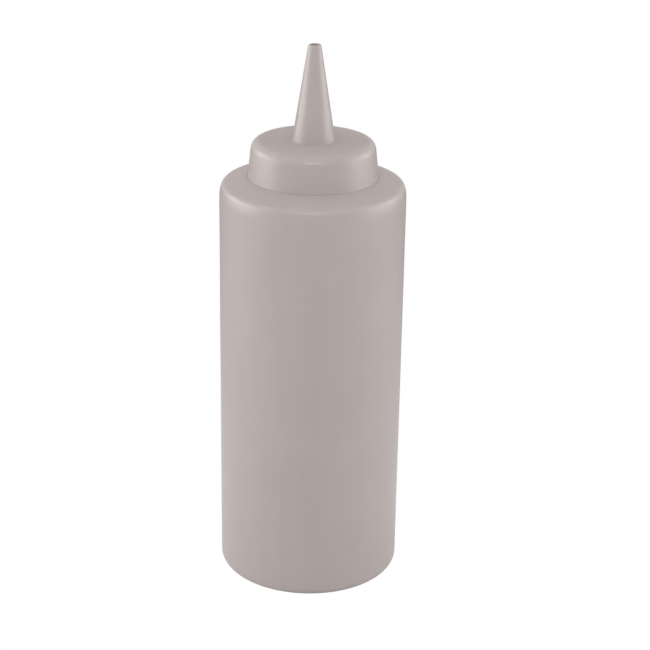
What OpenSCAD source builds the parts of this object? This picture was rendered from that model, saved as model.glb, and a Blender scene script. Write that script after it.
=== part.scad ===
// Condiment squeeze bottle: a blow-moulded bottle, a screw cap with a cone nozzle, and the
// sealing washer that the cap presses onto the mouth. Millimetres, +Z up. The origin is the
// centre of the foot, on the plane that the bottle stands on.

/* [Bottle] */
// Outside diameter of the body
body_d = 63.5; // [60:0.5:76]
// Height of the straight wall, up to where the shoulder starts to draw in
wall_h = 136.9; // [110:0.1:160]
// Rise of the shoulder, from the end of the straight wall to the seat under the cap
shoulder_h = 8.1; // [7.5:0.1:10]
// Fall of the shoulder's slope outwards, in degrees
shoulder_slope = 17; // [10:1:24]
// Radius of the shoulder's corner
shoulder_r = 2.2; // [1:0.1:4]
// Wall thickness of the body
wall_t = 1.1; // [0.9:0.05:1.6]
// Radius of the heel, where the wall turns into the foot
heel_r = 2.5; // [2:0.25:6]
// Depth of the hollow under the base
hollow_h = 2.6; // [1.5:0.1:4]

/* [Neck and thread] */
// Diameter over the neck's thread
thread_d = 37.4; // [36:0.1:38.4]
// Height of the thread's ridge
thread_h = 1.2; // [0.9:0.05:1.3]
// Rise of the thread in one turn
thread_pitch = 4.2333; // [3.8:0.0001:4.6]
// Length of the neck's thread, in turns
thread_turns = 1.15; // [0.8:0.05:1.2]
// Height of the neck above the seat
neck_h = 9.85; // [9.5:0.05:12]
// Wall thickness of the neck
neck_t = 1.95; // [1.5:0.05:2.4]

/* [Cap and nozzle] */
// Outside diameter of the skirt at its lower lip
cap_d = 44.4; // [43.5:0.1:46]
// Lean of the skirt's outside, in degrees
cap_draft = 6.5; // [2:0.5:7]
// Radius round the top edge of the cap
cap_edge_r = 3.2; // [2:0.1:3.6]
// Thickness of the cap's top
cap_top_t = 1.5; // [1.4:0.1:2.4]
// Height of the nozzle above the cap's top
nozzle_h = 32.45; // [25:0.05:40]
// Outside diameter of the nozzle at its foot
nozzle_foot_d = 14.5; // [12:0.1:18]
// Outside diameter of the nozzle at its tip
nozzle_tip_d = 4.3; // [4.2:0.1:6]
// Diameter of the hole that the sauce leaves by
orifice_d = 2.8; // [2:0.1:3]
// Length of the hole's straight part
orifice_l = 4.5; // [3:0.5:8]

/* [Washer] */
// Thickness of the sealing washer
washer_t = 1; // [0.8:0.1:1.6]
// Outside diameter of the washer
washer_d = 36.8; // [36.4:0.1:37.4]
// Diameter of the washer's opening
washer_hole_d = 29; // [24:0.5:30]

/* [Hidden] */
$fn = 96;

// Gaps
squeeze_gap = 0.05; // on each side of the washer, with the cap closed
skirt_gap = 0.05;   // between the skirt's lip and the seat
crest_gap = 0.3;    // from a thread's crest to the wall that it faces
flank_gap = 0.17;   // between the two threads, on the side that pulls the cap down

// Heights
seat_z = wall_h + shoulder_h;
neck_top = seat_z + neck_h;
washer_z = neck_top + squeeze_gap;
ceiling_z = washer_z + washer_t + squeeze_gap;
cap_top = ceiling_z + cap_top_t;
tip_z = cap_top + nozzle_h;
lip_z = seat_z + skirt_gap;

// Radii
body_r = body_d / 2;
neck_r = thread_d / 2 - thread_h;
mouth_r = neck_r - neck_t;
cap_r = cap_d / 2;
bore_r = thread_d / 2 + crest_gap;

arc_steps = 10;                // stretches along the arc of a hollow corner

// Base: a dome that runs out in a short cone to the flat ring that the bottle stands on
base_t = 1.6;
foot_w = 3.6;                  // width of the ring
hollow_r = body_r - heel_r - foot_w;
dome_x = 0.45 * hollow_r;      // where the cone's side, run on, meets the dome's highest level
dome_r = dome_x / tan(atan2(hollow_h, hollow_r - dome_x) / 2);
scar = [30, 0.9, 0.35];        // pinch-off scar: length, width and height

// Shoulder: the wall first leans in, then turns over a tight corner onto the slope
lean = 14;
lean_r = 18;
seat_r = cap_r + 0.4;
bend_z = wall_h + lean_r * tan(lean / 2);
brow_r = (body_r - tan(lean) * (seat_z + seat_r * tan(shoulder_slope) - bend_z))
    / (1 - tan(lean) * tan(shoulder_slope));
brow_z = seat_z - (brow_r - seat_r) * tan(shoulder_slope);

// Threads: a trapezoid ridge, sunk into its wall at the root, that fades in and out
ridge_root = 2.2;
ridge_crest = 1;
ridge_sink = 0.4;
ridge_fade = 30;
ridge_steps = 72;              // stretches in one turn
flank = (ridge_root - ridge_crest) / 2 / (thread_h + ridge_sink);
neck_ridge_z = neck_top - 1.8 - thread_turns * thread_pitch;
// height from one ridge's middle to the other's when their flanks are flank_gap apart
nest = ridge_root + flank_gap - flank * (bore_r - neck_r + 2 * ridge_sink);
cap_ridge_from = 62;           // degrees
cap_ridge_turns = thread_turns - 0.1;
lead_in = [1, 0.8];            // widening inside the skirt's lip: across, and up

// Unit vector from a to b.
function toward(a, b) = (b - a) / norm(b - a);

// Centre of the arc of radius r that rounds the corner at v, between the sides to a and to b.
function arc_centre(a, v, b, r) =
    let (u = toward(v, a), w = toward(v, b), half = acos(u * w) / 2)
    v + toward([0, 0], u + w) * r / sin(half);

// Distance along the sides from a corner to where that arc starts.
function arc_reach(a, v, b, r) = r / tan(acos(toward(v, a) * toward(v, b)) / 2);

// True if the outline, going anticlockwise, turns left at v.
function is_convex(a, v, b) = cross(v - a, b - v) > 0;

// The corner at v, moved in by t from both of its sides, for an anticlockwise outline.
function inset(a, v, b, t) =
    let (p = toward(a, v), q = toward(v, b), n = [-p[1], p[0]], m = [-q[1], q[0]])
    v + t * (n + m) / (1 + n * m);

// Points along a corner's arc, from the side that comes from a to the side that goes to b.
function arc_points(a, v, b, r) =
    let (c = arc_centre(a, v, b, r), reach = arc_reach(a, v, b, r),
         from = (v + toward(v, a) * reach - c) / r,
         to = (v + toward(v, b) * reach - c) / r,
         turn = acos(from * to))
    [for (f = [0:1 / arc_steps:1])
        c + r * (from * sin((1 - f) * turn) + to * sin(f * turn)) / sin(turn)];

// What to cut off a corner that points outwards to leave its arc.
module round_off(a, v, b, r) {
    c = arc_centre(a, v, b, r);
    reach = arc_reach(a, v, b, r);
    difference() {
        polygon([for (p = [c, v + toward(v, a) * reach, v, v + toward(v, b) * reach])
            c + (1 + 0.3 / r) * (p - c)]);
        translate(c) circle(r, $fn = r > 8 ? 720 : 96);
    }
}

// Filled outline, anticlockwise, from rows of [distance from the axis, height, corner radius].
module outline(rows) {
    n = len(rows);
    p = [for (row = rows) [row[0], row[1]]];
    corners = [for (i = [0:n - 1]) [p[(i + n - 1) % n], p[i], p[(i + 1) % n], rows[i][2]]];
    difference() {
        polygon([for (k = corners)
            each k[3] == 0 || is_convex(k[0], k[1], k[2]) ? [k[1]] : arc_points(k[0], k[1], k[2], k[3])]);
        for (k = corners)
            if (k[3] > 0 && is_convex(k[0], k[1], k[2])) round_off(k[0], k[1], k[2], k[3]);
    }
}

// Spiral ridge that climbs one pitch a turn. It stands on the wall of radius wall_r, outwards
// if out is 1 and inwards if out is -1.
module ridge(wall_r, out, z, from, turns) {
    n = ceil(turns * ridge_steps);
    sweep = turns * 360;
    points = [for (i = [0:n])
        let (a = sweep * i / n,
             grown = min(1, a / ridge_fade, (sweep - a) / ridge_fade),
             root = wall_r - out * ridge_sink,
             crest = wall_r + out * (grown * thread_h - (1 - grown) * ridge_sink / 2),
             middle = z + thread_pitch * (from + a) / 360)
        for (p = [[root, -ridge_root / 2], [crest, -ridge_crest / 2],
                  [crest, ridge_crest / 2], [root, ridge_root / 2]])
            [p[0] * cos(from + a), p[0] * sin(from + a), middle + p[1]]];
    sides = [for (i = [0:n - 1], k = [0:3])
        let (a = 4 * i + k, b = 4 * i + (k + 1) % 4)
        each [[a, b, b + 4], [a, b + 4, a + 4]]];
    e = 4 * n;
    ends = [[3, 2, 1], [3, 1, 0], [e, e + 1, e + 2], [e, e + 2, e + 3]];
    faces = [for (f = concat(sides, ends)) out > 0 ? f : [f[2], f[1], f[0]]];
    polyhedron(points, faces);
}

module bottle_section() {
    under = [[-1, hollow_h], [dome_x, hollow_h], [hollow_r, 0], [body_r, 0]];
    side = [[body_r, 0], [body_r, bend_z], [brow_r, brow_z], [seat_r, seat_z], [neck_r, seat_z]];
    dome_in = inset(under[0], under[1], under[2], base_t);
    foot_in = inset(under[1], under[2], under[3], base_t);
    bend_in = inset(side[0], side[1], side[2], wall_t);
    brow_in = inset(side[1], side[2], side[3], wall_t);
    seat_in = inset(side[2], side[3], side[4], wall_t);
    difference() {
        outline([
            [-1, hollow_h, 0],
            [dome_x, hollow_h, dome_r],
            [hollow_r, 0, 2],
            [body_r, 0, heel_r],
            [body_r, bend_z, lean_r],
            [brow_r, brow_z, shoulder_r],
            [seat_r, seat_z, 1],
            [neck_r, seat_z, 0.6],
            [neck_r, neck_top, 0.5],
            [mouth_r, neck_top, 0.5],
            [mouth_r, seat_in[1], 1.2],
            [seat_in[0], seat_in[1], 1],
            [brow_in[0], brow_in[1], shoulder_r - wall_t / 2],
            [bend_in[0], bend_in[1], lean_r - wall_t],
            [body_r - wall_t, base_t, heel_r - wall_t],
            [foot_in[0], base_t, 3],
            [dome_in[0], dome_in[1], dome_r + base_t],
            [-1, dome_in[1], 0]]);
        translate([-3, 0]) square([3, hollow_h + base_t + 1]);
    }
}

module bottle() {
    color("rosybrown") {
        rotate_extrude() bottle_section();
        ridge(neck_r, 1, neck_ridge_z, 0, thread_turns);
        // the scar that the mould leaves where it closes across the base
        difference() {
            translate([-scar[0] / 2, -scar[1] / 2, 0]) cube([scar[0], scar[1], hollow_h + 0.2]);
            translate([0, 0, hollow_h - dome_r]) sphere(dome_r - scar[2], $fn = 720);
        }
    }
}

module cap() {
    height = cap_top - lip_z;
    foot_r = nozzle_foot_d / 2;
    tip_r = nozzle_tip_d / 2;
    hole_r = orifice_d / 2;
    color("rosybrown") {
        rotate_extrude() outline([
            [bore_r + lead_in[0], lip_z, 0.15],
            [cap_r, lip_z, 0.15],
            [cap_r - height * tan(cap_draft), cap_top, cap_edge_r],
            [foot_r, cap_top, 0.25],
            [tip_r, tip_z, 0.6],
            [hole_r, tip_z, 0.12],
            [hole_r, tip_z - orifice_l, 6],
            [foot_r - 1.45, ceiling_z, 0.6],
            [bore_r, ceiling_z, 0.4],
            [bore_r, lip_z + lead_in[1], 0.3]]);
        ridge(bore_r, -1, neck_ridge_z - nest, cap_ridge_from, cap_ridge_turns);
    }
}

module seal_washer() {
    color("gainsboro")
        translate([0, 0, washer_z])
            difference() {
                cylinder(washer_t, d = washer_d);
                translate([0, 0, -1]) cylinder(washer_t + 2, d = washer_hole_d);
            }
}

bottle();
cap();
seal_washer();
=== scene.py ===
"""The looks of a condiment squeeze bottle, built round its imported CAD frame.

Everything is in metres, in the frame's own axes: +Z up the bottle, and the viewer in front, at -Y.
The bottle, the cap and the washer are each turned from an outline whose sizes are read off the CAD
nodes, with finer arcs, threads that fade in and out, and the marks that moulding leaves.
"""

import math

import bmesh
import bpy
from mathutils import Matrix, Vector, noise


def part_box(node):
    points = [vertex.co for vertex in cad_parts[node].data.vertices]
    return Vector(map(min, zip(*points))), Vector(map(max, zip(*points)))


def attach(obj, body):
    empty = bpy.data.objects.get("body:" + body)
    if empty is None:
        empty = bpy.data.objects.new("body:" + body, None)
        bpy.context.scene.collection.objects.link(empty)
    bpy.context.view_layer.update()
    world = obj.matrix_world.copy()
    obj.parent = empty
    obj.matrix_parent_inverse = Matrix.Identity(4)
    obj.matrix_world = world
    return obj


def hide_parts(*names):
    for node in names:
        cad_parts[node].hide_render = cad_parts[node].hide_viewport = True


MM = 0.001
FULL_TURN = 2 * math.pi

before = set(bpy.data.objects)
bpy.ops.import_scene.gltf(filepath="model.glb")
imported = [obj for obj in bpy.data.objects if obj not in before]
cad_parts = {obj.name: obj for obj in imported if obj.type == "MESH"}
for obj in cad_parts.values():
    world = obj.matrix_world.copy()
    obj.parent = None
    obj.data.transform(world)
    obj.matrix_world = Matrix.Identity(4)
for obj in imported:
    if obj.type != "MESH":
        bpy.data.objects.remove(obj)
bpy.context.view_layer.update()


# ---------------------------------------------------------------- sizes read off the CAD frame


def outline_edges(node):
    """The edges of a CAD node's mesh in planes through the axis, each as two (radius, height) ends."""
    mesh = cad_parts[node].data
    near_axis = 1 * MM
    same_way = 0.9999999
    edges = set()
    for edge in mesh.edges:
        a, b = (mesh.vertices[i].co for i in edge.vertices)
        off_axis = min(a.xy.length, b.xy.length) > near_axis
        if off_axis and a.xy.normalized().dot(b.xy.normalized()) > same_way:
            edges.add(tuple(sorted((p.xy.length, p.z) for p in (a, b))))
    return edges


OUTLINES = {node: outline_edges(node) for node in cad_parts}


def crossings(node, measured, level):
    """Sorted radii where a node's outline crosses a height (measured = 1), or heights at a radius (0)."""
    other = 1 - measured
    found = set()
    for ends in OUTLINES[node]:
        low, high = sorted(ends, key=lambda p: p[measured])
        if low[measured] < level < high[measured]:
            share = (level - low[measured]) / (high[measured] - low[measured])
            found.add(round(low[other] + share * (high[other] - low[other]), 6))
    return sorted(found)


def radii(node, height):
    return crossings(node, 1, height)


def heights(node, radius):
    return crossings(node, 0, radius)


def run_on(p, q, height=None, radius=None):
    """The point on the line through p and q at a height or at a radius."""
    share = (height - p[1]) / (q[1] - p[1]) if radius is None else (radius - p[0]) / (q[0] - p[0])
    return (p[0] + share * (q[0] - p[0]), p[1] + share * (q[1] - p[1]))


bottle_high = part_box("bottle")[1]
cap_low, cap_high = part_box("cap")
washer_low, washer_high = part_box("seal_washer")

# Names end in _r for a radius, _z or _top for a height, and _t for a thickness.
# An outline is read at a height or a radius where it has no arc, ridge or lead-in.
body_r = bottle_high.x
neck_top = bottle_high.z
full_width = [z for edge in OUTLINES["bottle"] for r, z in edge if r > body_r - 1e-6]
heel_r, wall_top = min(full_width), max(full_width)
wall_t = body_r - radii("bottle", neck_top / 3)[0]
mouth_r, neck_r = radii("bottle", neck_top - 0.6 * MM)
under_seat_z, seat_z = heights("bottle", neck_r + 2 * MM)[-2:]
base_t = heights("bottle", 0.86 * body_r)[1]

lip_z = cap_low.z
tip_z = cap_high.z
ceiling_z, cap_top = heights("cap", neck_r)[-2:]
bore_r = radii("cap", ceiling_z - 1 * MM)[0]
orifice_r = radii("cap", tip_z - 2 * MM)[0]
ORIFICE_L = 4.5 * MM

PITCH = 25.4 * MM / 6
THREAD_TURNS = 1.15
THREAD_TOP_GAP = 1.8 * MM
THREAD_FOOT = neck_top - THREAD_TOP_GAP - THREAD_TURNS * PITCH


# ---------------------------------------------------------------- turned outlines


def rounded(rows, step=7.5):
    """Points of a closed outline of (radius, height, corner radius) rows, with an arc at each corner.

    Each arc has a point at least every step degrees."""
    points = []
    for i, (x, z, r) in enumerate(rows):
        v = Vector((x, z))
        if not r:
            points.append(v)
            continue
        to_a = (Vector(rows[i - 1][:2]) - v).normalized()
        to_b = (Vector(rows[(i + 1) % len(rows)][:2]) - v).normalized()
        half = to_a.angle(to_b) / 2
        centre = v + (to_a + to_b).normalized() * r / math.sin(half)
        start = v + to_a * r / math.tan(half) - centre
        turn = math.copysign(math.pi - 2 * half, to_b.cross(to_a))
        steps = max(4, math.ceil(abs(math.degrees(turn)) / step))
        for k in range(steps + 1):
            arm = start.copy()
            arm.rotate(Matrix.Rotation(turn * k / steps, 2))
            points.append(centre + arm)
    tidy = []
    for p in points:
        if not tidy or (p - tidy[-1]).length > 1e-6:
            tidy.append(Vector((max(p.x, 0), p.y)))
    return tidy


def as_object(bm, name):
    """A scene object with the bmesh as its mesh, its faces turned to look outwards."""
    bmesh.ops.recalc_face_normals(bm, faces=bm.faces)
    mesh = bpy.data.meshes.new(name)
    bm.to_mesh(mesh)
    bm.free()
    piece = bpy.data.objects.new(name, mesh)
    bpy.context.scene.collection.objects.link(piece)
    return piece


def skinned(name, rings):
    """A closed tube through rings of points that have the same count, capped at both ends."""
    bm = bmesh.new()
    rings = [[bm.verts.new(p) for p in ring] for ring in rings]
    for a, b in zip(rings, rings[1:]):
        for k in range(len(a)):
            n = (k + 1) % len(a)
            bm.faces.new((a[k], a[n], b[n], b[k]))
    bm.faces.new(rings[0])
    bm.faces.new(rings[-1])
    return as_object(bm, name)


def turned(name, outline, angles, shape=None):
    """A mesh object made by turning a closed outline about the axis.

    An outline point on the axis is one vertex. shape(point, angle, row) may move each turned point."""
    bm = bmesh.new()
    rings = []
    for row, p in enumerate(outline):
        if p.x < 1e-6:
            rings.append([bm.verts.new((0, 0, p.y))] * len(angles))
            continue
        ring = []
        for a in angles:
            q = shape(p, a, row) if shape else p
            ring.append(bm.verts.new((q.x * math.cos(a), q.x * math.sin(a), q.y)))
        rings.append(ring)
    for i, ring in enumerate(rings):
        below = rings[i - 1]
        for k in range(len(angles)):
            n = (k + 1) % len(angles)
            corners = list(dict.fromkeys((below[k], below[n], ring[n], ring[k])))
            if len(corners) > 2:
                bm.faces.new(corners)
    return as_object(bm, name)


def even_angles(count, seams=(), width=0):
    """Angles round a full turn, with extra ones close to each seam, width being the seam's half angle."""
    angles = {round(FULL_TURN * k / count, 9) for k in range(count)}
    for seam in seams:
        for share in (-1, -0.6, -0.25, 0, 0.25, 0.6, 1):
            angles.add(round((seam + share * width) % FULL_TURN, 9))
    return sorted(angles)


def ease(x):
    """A smooth step from 0 at 0 to 1 at 1."""
    x = min(max(x, 0), 1)
    return x * x * (3 - 2 * x)


# ---------------------------------------------------------------- threads

THREAD_H = 1.2 * MM
RIDGE_SINK = 0.4 * MM
# One flank of the ridge, from its sunk root to its crest: the share of its height, and the half width in mm.
RIDGE_FLANK = ((0, 1.1), (0.25, 1.0), (0.8, 0.72), (0.95, 0.6), (1, 0.42))


def thread_ridge(name, wall_r, outwards, z, start, turns, fade=0.1, steps=96):
    """A spiral ridge with a rounded crest that grows out of its wall and sinks back into it.

    z is the height of its middle line at angle 0, and start is the angle where it begins."""
    section = [(rise, -side) for rise, side in RIDGE_FLANK]
    section += [(rise, side) for rise, side in reversed(RIDGE_FLANK)]
    count = math.ceil(turns * steps)
    rings = []
    for i in range(count + 1):
        turn = turns * i / count
        grown = ease(min(turn, turns - turn) / fade)
        angle = start + turn * FULL_TURN
        middle = z + PITCH * angle / FULL_TURN
        full_rise = THREAD_H * grown + RIDGE_SINK * (0.6 + 0.4 * grown)
        width = (0.55 + 0.45 * grown) * MM
        ring = []
        for rise, side in section:
            out = rise * full_rise - RIDGE_SINK
            r = wall_r + (out if outwards else -out)
            ring.append((r * math.cos(angle), r * math.sin(angle), middle + side * width))
        rings.append(ring)
    return skinned(name, rings)


# ---------------------------------------------------------------- the mark under the base

SCAR_L, SCAR_W, SCAR_H = 30 * MM, 0.9 * MM, 0.35 * MM
SCAR_ROOT = 0.5 * MM
SCAR_LUMPS = 0.12


def height_at(outline, radius):
    """The height of the first stretch of an outline that passes a radius going outwards."""
    for a, b in zip(outline, outline[1:]):
        if a.x <= radius <= b.x:
            return a.y + (radius - a.x) / (b.x - a.x) * (b.y - a.y)


def pinch_scar(outline):
    """The low rounded bar left along X where the mould pinched the tube shut. outline is the bottle's."""
    round_side = [(math.cos(math.pi * k / 8), -math.sin(math.pi * k / 8)) for k in range(9)]
    count = 60
    rings = []
    for i in range(count + 1):
        along = 2 * i / count - 1
        x = SCAR_L / 2 * along
        z = height_at(outline, abs(x))
        end = math.sqrt(max(1 - abs(along) ** 8, 0.02))
        lump = SCAR_LUMPS * noise.noise(Vector((x * 400, 7.1, 0)))
        half_w = SCAR_W / 2 * end
        ring = [(x, half_w, z + SCAR_ROOT)]
        ring += [(x, across * half_w, z + SCAR_H * (end + lump) * down) for across, down in round_side]
        ring.append((x, -half_w, z + SCAR_ROOT))
        rings.append(ring)
    return skinned("pinch_scar", rings)


# ---------------------------------------------------------------- wear, joining and shading


def mark_wear(piece, edges):
    """Writes a wear value at each vertex: 1 on each (radius, height, reach) edge, 0 beyond its reach."""
    wear = piece.data.attributes.new("wear", "FLOAT", "POINT")
    values = []
    for vertex in piece.data.vertices:
        place = Vector((vertex.co.xy.length, vertex.co.z))
        nearness = [1 - (place - Vector((r, z))).length / reach for r, z, reach in edges]
        values.append(ease(max(nearness)))
    wear.data.foreach_set("value", values)


def merge(piece, *extras):
    """Unites extras with piece into one closed skin, and removes them."""
    for extra in extras:
        union = piece.modifiers.new("union", "BOOLEAN")
        union.operation = "UNION"
        union.solver = "EXACT"
        union.object = extra
    graph = bpy.context.evaluated_depsgraph_get()
    mesh = bpy.data.meshes.new_from_object(piece.evaluated_get(graph))
    bm = bmesh.new()
    bm.from_mesh(mesh)
    # A union leaves points that coincide, and points part way along straight edges.
    bmesh.ops.remove_doubles(bm, verts=bm.verts, dist=0.001 * MM)
    bmesh.ops.dissolve_verts(bm, verts=[v for v in bm.verts if len(v.link_edges) == 2])
    bm.to_mesh(mesh)
    bm.free()
    piece.modifiers.clear()
    piece.data = mesh
    for extra in extras:
        bpy.data.objects.remove(extra)


def smooth(piece, sharp_angle=38):
    """Smooth shading, except across edges that bend by more than sharp_angle degrees."""
    piece.data.shade_smooth()
    piece.data.set_sharp_from_angle(angle=math.radians(sharp_angle))


# ---------------------------------------------------------------- the pieces

HOLLOW_H = 2.6 * MM
FOOT_W = 3.6 * MM
BROW_R = 2.2 * MM
LEAN = math.radians(14)
LEAN_R = 18 * MM
PARTING_H = 0.07 * MM
PARTING_W = 0.32 * MM
WALL_WAVE = 0.05 * MM
WAVE_L = 38 * MM
WAVE_FADE = 20 * MM
SIDES = 240


def bottle_rows():
    """The bottle's outline: up the outside, over the mouth, down the inside, and across the base."""
    hollow_r = body_r - heel_r - FOOT_W
    dome_x = 0.45 * hollow_r
    dome_slope = math.atan2(HOLLOW_H, hollow_r - dome_x)
    dome_r = dome_x / math.tan(dome_slope / 2)
    slope_in, slope_out = ((r, heights("bottle", r)[-1]) for r in (neck_r + 6.5 * MM, neck_r + 10.5 * MM))
    seat = run_on(slope_in, slope_out, height=seat_z)
    fall = (slope_in[1] - slope_out[1]) / (slope_out[0] - slope_in[0])
    bend = (body_r, wall_top + LEAN_R * math.tan(LEAN / 2))
    brow_x = body_r - math.tan(LEAN) * (seat_z + seat[0] * fall - bend[1])
    brow_x /= 1 - math.tan(LEAN) * fall
    brow = run_on(slope_in, slope_out, radius=brow_x)
    outside = [
        (0, HOLLOW_H, 0),  # the middle of the hollow under the base
        (dome_x, HOLLOW_H, dome_r),
        (hollow_r, 0, 2 * MM),  # the inner edge of the foot
        (body_r, 0, heel_r),
        (*bend, LEAN_R),  # where the wall starts to lean in
        (*brow, BROW_R),  # where the wall turns into the shoulder
        (*seat, 1 * MM),  # the edge of the flat under the cap
        (neck_r, seat_z, 0.6 * MM),
        (neck_r, neck_top, 0.5 * MM),
        (mouth_r, neck_top, 0.5 * MM),
        (mouth_r, under_seat_z, 1.2 * MM),  # the underside of the shoulder
    ]

    def inset(i, t):
        """Corner i of the outside, moved inwards by a thickness t."""
        a, v, b = (Vector(row[:2]) for row in outside[i - 1 : i + 2])
        p, q = (v - a).normalized(), (b - v).normalized()
        n, m = Vector((-p.y, p.x)), Vector((-q.y, q.x))
        return tuple(v + t * (n + m) / (1 + n.dot(m)))

    inside = [
        (*inset(6, wall_t), 1 * MM),
        (*inset(5, wall_t), BROW_R - wall_t / 2),
        (*inset(4, wall_t), LEAN_R - wall_t),
        (body_r - wall_t, base_t, heel_r - wall_t),
        (*inset(2, base_t), 3 * MM),
        (*inset(1, base_t), dome_r + base_t),
        (0, HOLLOW_H + base_t, 0),
    ]
    return outside + inside


def with_wall_rows(outline, spacing):
    """The outline with extra points along its long straight stretches, for a wavy wall and even wear."""
    points = []
    for a, b in zip(outline, outline[1:] + outline[:1]):
        points.append(a)
        steps = int((b - a).length / spacing)
        if steps > 4:
            points += [a.lerp(b, k / steps) for k in range(1, steps)]
    return points


def make_bottle():
    """The blown bottle, with its thread, faint wall waves, parting line and pinch scar."""
    outline = with_wall_rows(rounded(bottle_rows()), 3 * MM)
    seams = (0, math.pi)
    half_width = PARTING_W / body_r
    mouth_row = max(range(len(outline)), key=lambda i: outline[i].y)

    def shape(p, angle, row):
        """The point moved out by the wall's waves, inside and out, and by the parting line outside."""
        out = 0
        if p.x > 0.9 * body_r:
            free = ease((p.y - 9 * MM) / WAVE_FADE) * ease((wall_top - 3 * MM - p.y) / WAVE_FADE)
            place = Vector((1.3 * math.cos(angle), 1.3 * math.sin(angle), p.y / WAVE_L))
            out = WALL_WAVE * noise.noise(place) * free
        if row < mouth_row and p.y > 0.3 * MM and p.x > 0.9 * neck_r:
            off = min(abs((angle - s + math.pi) % FULL_TURN - math.pi) for s in seams)
            out += PARTING_H * (1 - ease(off / half_width))
        return Vector((p.x + out, p.y))

    piece = turned("bottle_wall", outline, even_angles(SIDES, seams, half_width), shape)
    ridge = thread_ridge("neck_ridge", neck_r, True, THREAD_FOOT, 0, THREAD_TURNS)
    merge(piece, ridge, pinch_scar(outline))
    smooth(piece)
    outward = Vector((math.sin(0.9), math.cos(0.9)))
    brow = max(outline, key=lambda p: p.dot(outward) if p.y < seat_z else 0)
    # It wears on its brow, heel, foot and mouth.
    edges = (
        (brow.x, brow.y, 1.4 * MM),
        (body_r - 0.3 * heel_r, 0.3 * heel_r, 1.6 * MM),
        (body_r - heel_r - 2 * MM, 0, 1.8 * MM),
        (neck_r, neck_top, 0.8 * MM),
    )
    mark_wear(piece, edges)
    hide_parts("bottle")
    return piece


LIP_INSIDE = 1 * MM
LIP_DROP = 0.045 * MM
RIM_R = 3.2 * MM
# How far the cap's ridge lies under the neck's, which it pulls against when the cap is tight.
THREAD_NEST = 1.5075 * MM
CAP_THREAD_START = math.radians(62)
CAP_THREAD_TURNS = 1.05


def make_cap():
    """The screw cap and its cone nozzle. Its lip reaches down to the shoulder, short of it by a hair."""
    low, high = (Vector((radii("cap", lip_z + z)[-1], lip_z + z)) for z in (2 * MM, 7 * MM))
    lip = run_on(low, high, height=lip_z)
    rim = run_on(low, high, height=cap_top)
    cone_heights = (cap_top + 2 * MM, cap_top + 20 * MM)
    cone = [(radii("cap", z)[-1], z) for z in cone_heights]
    bore = [(radii("cap", z)[0], z) for z in cone_heights]
    tip = run_on(*cone, height=tip_z)
    rows = [
        (bore_r + LIP_INSIDE, lip_z - LIP_DROP, 0.15 * MM),
        (lip[0], lip_z - LIP_DROP, 0),
        (*rim, RIM_R),
        (*run_on(*cone, height=cap_top), 0.25 * MM),  # the foot of the nozzle
        (*tip, 0.6 * MM),
        (orifice_r, tip_z, 0.12 * MM),
        (orifice_r, tip_z - ORIFICE_L, 6 * MM),  # where the hole starts to widen
        (*run_on(*bore, height=ceiling_z), 0.6 * MM),
        (bore_r, ceiling_z, 0.4 * MM),
        (bore_r, lip_z + 0.8 * MM, 0.3 * MM),  # the top of the lead-in
    ]
    piece = turned("cap_shell", with_wall_rows(rounded(rows), 1.2 * MM), even_angles(SIDES))
    ridge = thread_ridge(
        "cap_ridge", bore_r, False, THREAD_FOOT - THREAD_NEST, CAP_THREAD_START, CAP_THREAD_TURNS
    )
    merge(piece, ridge)
    smooth(piece)
    # It wears on its top edge, lip and tip.
    edges = (
        (rim[0] - 0.9 * MM, cap_top - 0.9 * MM, 2 * MM),
        (lip[0], lip_z, 0.7 * MM),
        (*tip, 1.2 * MM),
    )
    mark_wear(piece, edges)
    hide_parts("cap")
    return piece


def make_washer():
    """The flat sealing ring under the cap's ceiling."""
    low, high = washer_low.z, washer_high.z
    hole_r, edge_r = radii("seal_washer", (low + high) / 2)
    corners = ((hole_r, low), (edge_r, low), (edge_r, high), (hole_r, high))
    rows = [(r, z, 0.15 * MM) for r, z in corners]
    piece = turned("washer_ring", rounded(rows, step=15), even_angles(192))
    smooth(piece)
    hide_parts("seal_washer")
    return piece


# ---------------------------------------------------------------- materials


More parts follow.
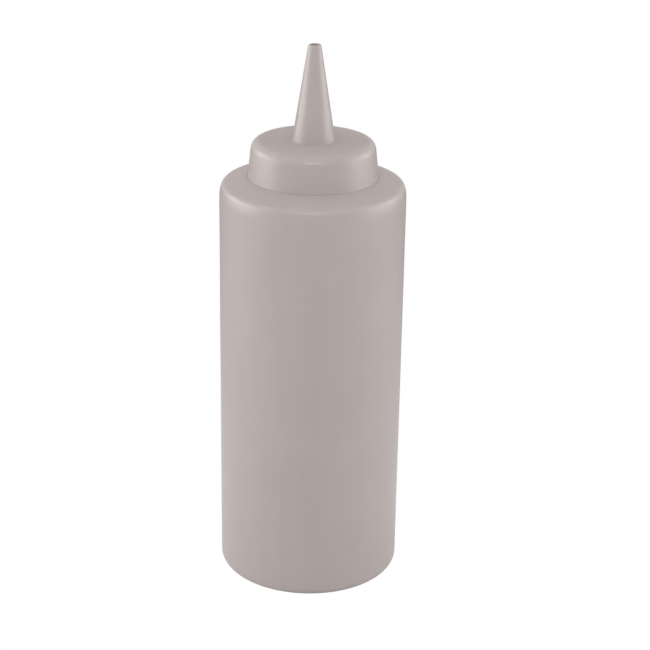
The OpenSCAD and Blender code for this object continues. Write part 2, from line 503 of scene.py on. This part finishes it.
class Shader:
    """The node tree of a new material, or one passed in, built one node at a time."""

    def __init__(self, name, tree=None):
        if tree is None:
            self.material = bpy.data.materials.new(name)
            self.material.use_nodes = True
            tree = self.material.node_tree
        self.tree = tree
        self.tree.nodes.clear()

    def node(self, kind, inputs=None, output=0, **settings):
        """Adds a node and returns one of its outputs. An input is a value or another node's output."""
        made = self.tree.nodes.new("ShaderNode" + kind)
        for key, value in settings.items():
            setattr(made, key, value)
        for key, value in (inputs or {}).items():
            if isinstance(value, bpy.types.NodeSocket):
                self.tree.links.new(value, made.inputs[key])
            else:
                made.inputs[key].default_value = value
        return made.outputs[output] if made.outputs else made

    def noise(self, scale, stretch=(1, 1, 1), detail=2, roughness=0.5):
        """A noise pattern with about scale lumps a metre, in the piece's own space."""
        place = self.node("TexCoord", output="Object")
        mapped = self.node("Mapping", {"Vector": place, "Scale": stretch})
        inputs = {"Vector": mapped, "Scale": scale, "Detail": detail, "Roughness": roughness}
        return self.node("TexNoise", inputs, output="Fac")

    def span(self, value, low, high, start=0.0, end=1.0):
        """value mapped from start..end to low..high, and held there."""
        inputs = {"Value": value, "From Min": start, "From Max": end, "To Min": low, "To Max": high}
        return self.node("MapRange", inputs)

    def part(self, vector, axis):
        """One of the X, Y and Z parts of a vector."""
        return self.node("SeparateXYZ", {"Vector": vector}, output=axis)

    def mix(self, factor, a, b):
        """A colour between a and b."""
        return self.node("Mix", {0: factor, 6: a, 7: b}, output=2, data_type="RGBA")

    def math(self, operation, a, b):
        return self.node("Math", {0: a, 1: b}, operation=operation)

    def total(self, *values):
        """The sum of the values."""
        sum_so_far = values[0]
        for value in values[1:]:
            sum_so_far = self.math("ADD", sum_so_far, value)
        return sum_so_far

    def bumped(self, height, strength, distance, under=None):
        """A normal bent by height, on top of another normal."""
        inputs = {"Height": height, "Strength": strength, "Distance": distance}
        if under:
            inputs["Normal"] = under
        return self.node("Bump", inputs)

    def finish(self, surface):
        self.node("OutputMaterial", {"Surface": surface})
        return self.material


TINT = (0.404, 0.351, 0.340, 1)
TINT_DEEP = (0.390, 0.338, 0.328, 1)
TINT_PALE = (0.446, 0.396, 0.385, 1)
TINT_WORN = (0.49, 0.44, 0.43, 1)


def milky_plastic(name, drawn, roughness):
    """Pigmented low-density polyethylene: waxy and slightly see-through, scuffed a little on its edges.

    drawn is for blown plastic, whose faint streaks run up the bottle; moulded plastic has faint swirls."""
    s = Shader(name)
    cloud = s.noise(45, detail=3)
    flow = s.noise(30, stretch=(9, 9, 0.5) if drawn else (1, 1, 5), detail=4, roughness=0.6)
    ripple = s.noise(90, stretch=(1, 1, 0.35), detail=2)
    peel = s.noise(700, detail=2)

    # Handling leaves short rubbed streaks, and wears the edges in patches.
    rubbed = s.span(s.noise(260, stretch=(1, 1, 14), detail=5, roughness=0.7), 0, 1, 0.6, 0.75)
    patchy = s.span(s.noise(420, detail=4, roughness=0.6), 0, 1, 0.4, 0.7)
    edge = s.node("Attribute", output="Fac", attribute_name="wear")
    worn = s.math("MULTIPLY", edge, patchy)

    colour = s.mix(s.span(cloud, 0.1, 0.9, 0.35, 0.65), TINT, TINT_DEEP)
    colour = s.mix(s.span(flow, 0, 0.12, 0.4, 0.7), colour, TINT_PALE)
    colour = s.mix(s.math("MULTIPLY", worn, 0.25), colour, TINT_WORN)

    # Faces that look up are the most matt, from dust and wiping.
    upward = s.part(s.node("NewGeometry", output="Normal"), "Z")
    rough = s.total(
        s.span(ripple, roughness - 0.025, roughness + 0.025, 0.3, 0.7),
        s.span(rubbed, 0, 0.08),
        s.span(worn, 0, 0.06),
        s.span(upward, 0, 0.32, 0.87, 0.95),
    )

    bump = s.bumped(ripple, 0.25, 0.1 * MM)
    bump = s.bumped(peel, 0.3, 0.018 * MM, bump)
    bump = s.bumped(rubbed, 0.08, 0.004 * MM, bump)
    skin = {
        "Base Color": colour,
        "Roughness": rough,
        "IOR": 1.5,
        "Normal": bump,
        "Subsurface Weight": 0.25,
        "Subsurface Radius": (1.0, 0.8, 0.76),
        "Subsurface Scale": 1.2 * MM,
    }
    return s.finish(s.node("BsdfPrincipled", skin))


def soft_rubber(name):
    """White closed-cell sealing foam with a fine grain."""
    s = Shader(name)
    grain = s.noise(2600, detail=3)
    pores = s.span(s.noise(5200, detail=1), 0, 1, 0.6, 0.72)
    colour = s.mix(grain, (0.62, 0.62, 0.59, 1), (0.74, 0.74, 0.71, 1))
    colour = s.mix(pores, colour, (0.5, 0.5, 0.47, 1))
    bump = s.bumped(s.math("SUBTRACT", grain, pores), 0.4, 0.04 * MM)
    rough = s.span(grain, 0.62, 0.8)
    return s.finish(s.node("BsdfPrincipled", {"Base Color": colour, "Roughness": rough, "Normal": bump}))


# ---------------------------------------------------------------- studio


def plain_white():
    """White to the camera. Every other ray meets a plain pale card, which is darker behind the bottle."""
    s = Shader("studio_floor")
    seen = s.node("LightPath", output="Is Camera Ray")
    behind = s.span(s.part(s.node("TexCoord", output="Object"), "Y"), 0, 1, 0.04, 0.3)
    shade = s.mix(behind, (0.7, 0.7, 0.7, 1), (0.3, 0.3, 0.3, 1))
    card = s.node("BsdfDiffuse", {"Color": shade})
    white = s.node("Emission", {"Color": (1, 1, 1, 1), "Strength": 1})
    return s.finish(s.node("MixShader", {0: seen, 1: card, 2: white}))


def make_floor():
    """A round floor, much wider than the view."""
    bm = bmesh.new()
    bmesh.ops.create_circle(bm, cap_ends=True, segments=64, radius=2.5)
    mesh = bpy.data.meshes.new("studio_floor")
    bm.to_mesh(mesh)
    bm.free()
    floor = bpy.data.objects.new("studio_floor", mesh)
    bpy.context.scene.collection.objects.link(floor)
    mesh.materials.append(plain_white())


def make_world(front, behind):
    """White to the camera. Every other ray meets a pale room, slightly dimmer behind the bottle."""
    world = bpy.data.worlds.new("studio")
    world.use_nodes = True
    s = Shader("studio_room", world.node_tree)
    strength = s.span(s.part(s.node("TexCoord", output="Generated"), "Y"), front, behind, 0.35, 1)
    room = s.node("Background", {"Color": (1, 1, 1, 1), "Strength": strength})
    white = s.node("Background", {"Color": (1, 1, 1, 1), "Strength": 1})
    seen = s.node("LightPath", output="Is Camera Ray")
    s.node("OutputWorld", {"Surface": s.node("MixShader", {0: seen, 1: room, 2: white})})
    bpy.context.scene.world = world


def soft_box(name, azimuth, elevation, distance, width, height, power):
    """A rectangular light that faces the bottle. Azimuth 0 is the viewer's side, and 90 is +X."""
    a, e = math.radians(azimuth), math.radians(elevation)
    out = Vector((math.sin(a) * math.cos(e), -math.cos(a) * math.cos(e), math.sin(e)))
    light = bpy.data.lights.new(name, "AREA")
    light.shape = "RECTANGLE"
    light.size, light.size_y = width, height
    light.energy = power
    lamp = bpy.data.objects.new(name, light)
    lamp.location = Vector((0, 0, tip_z / 2)) + out * distance
    lamp.rotation_mode = "QUATERNION"
    lamp.rotation_quaternion = out.to_track_quat("Z", "Y")
    lamp.visible_camera = False
    bpy.context.scene.collection.objects.link(lamp)


VIEW_PITCH = math.radians(22.2)
VIEW_ROLL = math.radians(0.75)
VIEW_DISTANCE = 0.613
VIEW_AIM = Vector((0, 0, 0.09))
VIEW_SHIFT = (0.0213, 0.0013)
LENS, SENSOR = 97.0, 36


def make_camera():
    """Looks down on the bottle from in front, through a long lens."""
    back = Vector((0, -math.cos(VIEW_PITCH), math.sin(VIEW_PITCH)))
    camera = bpy.data.cameras.new("camera")
    camera.sensor_width = SENSOR
    camera.lens = LENS
    camera.shift_x, camera.shift_y = VIEW_SHIFT
    camera.clip_start = 0.01
    eye = bpy.data.objects.new("camera", camera)
    eye.location = VIEW_AIM + back * VIEW_DISTANCE
    eye.rotation_mode = "QUATERNION"
    look = (-back).to_track_quat("-Z", "Y")
    eye.rotation_quaternion = look @ Matrix.Rotation(VIEW_ROLL, 3, "Z").to_quaternion()
    bpy.context.scene.collection.objects.link(eye)
    bpy.context.scene.camera = eye


# ---------------------------------------------------------------- the scene

for make, body, slot, material in (
    (make_bottle, "bottle", "bottle_plastic", milky_plastic("bottle_plastic", True, 0.315)),
    (make_cap, "cap", "cap_plastic", milky_plastic("cap_plastic", False, 0.31)),
    (make_washer, "washer", "washer_rubber", soft_rubber("washer_rubber")),
):
    piece = make()
    piece.data.materials.clear()
    piece.data.materials.append(material)
    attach(piece, body)

make_floor()
make_world(front=0.72, behind=0.685)
# Each light's name, azimuth, elevation, distance, width, height and power, in degrees, metres and watts.
for light in (
    ("key_box", 0, 31, 1.0, 0.4, 0.2, 2.4),
    ("top_box", 0, 78, 1.0, 0.6, 0.6, 0.75),
    ("left_box", -97, 12, 1.0, 1.0, 0.6, 5.9),
    ("right_box", 97, 12, 1.0, 1.0, 0.6, 4.7),
):
    soft_box(*light)
make_camera()
bpy.context.scene.view_settings.view_transform = "Standard"
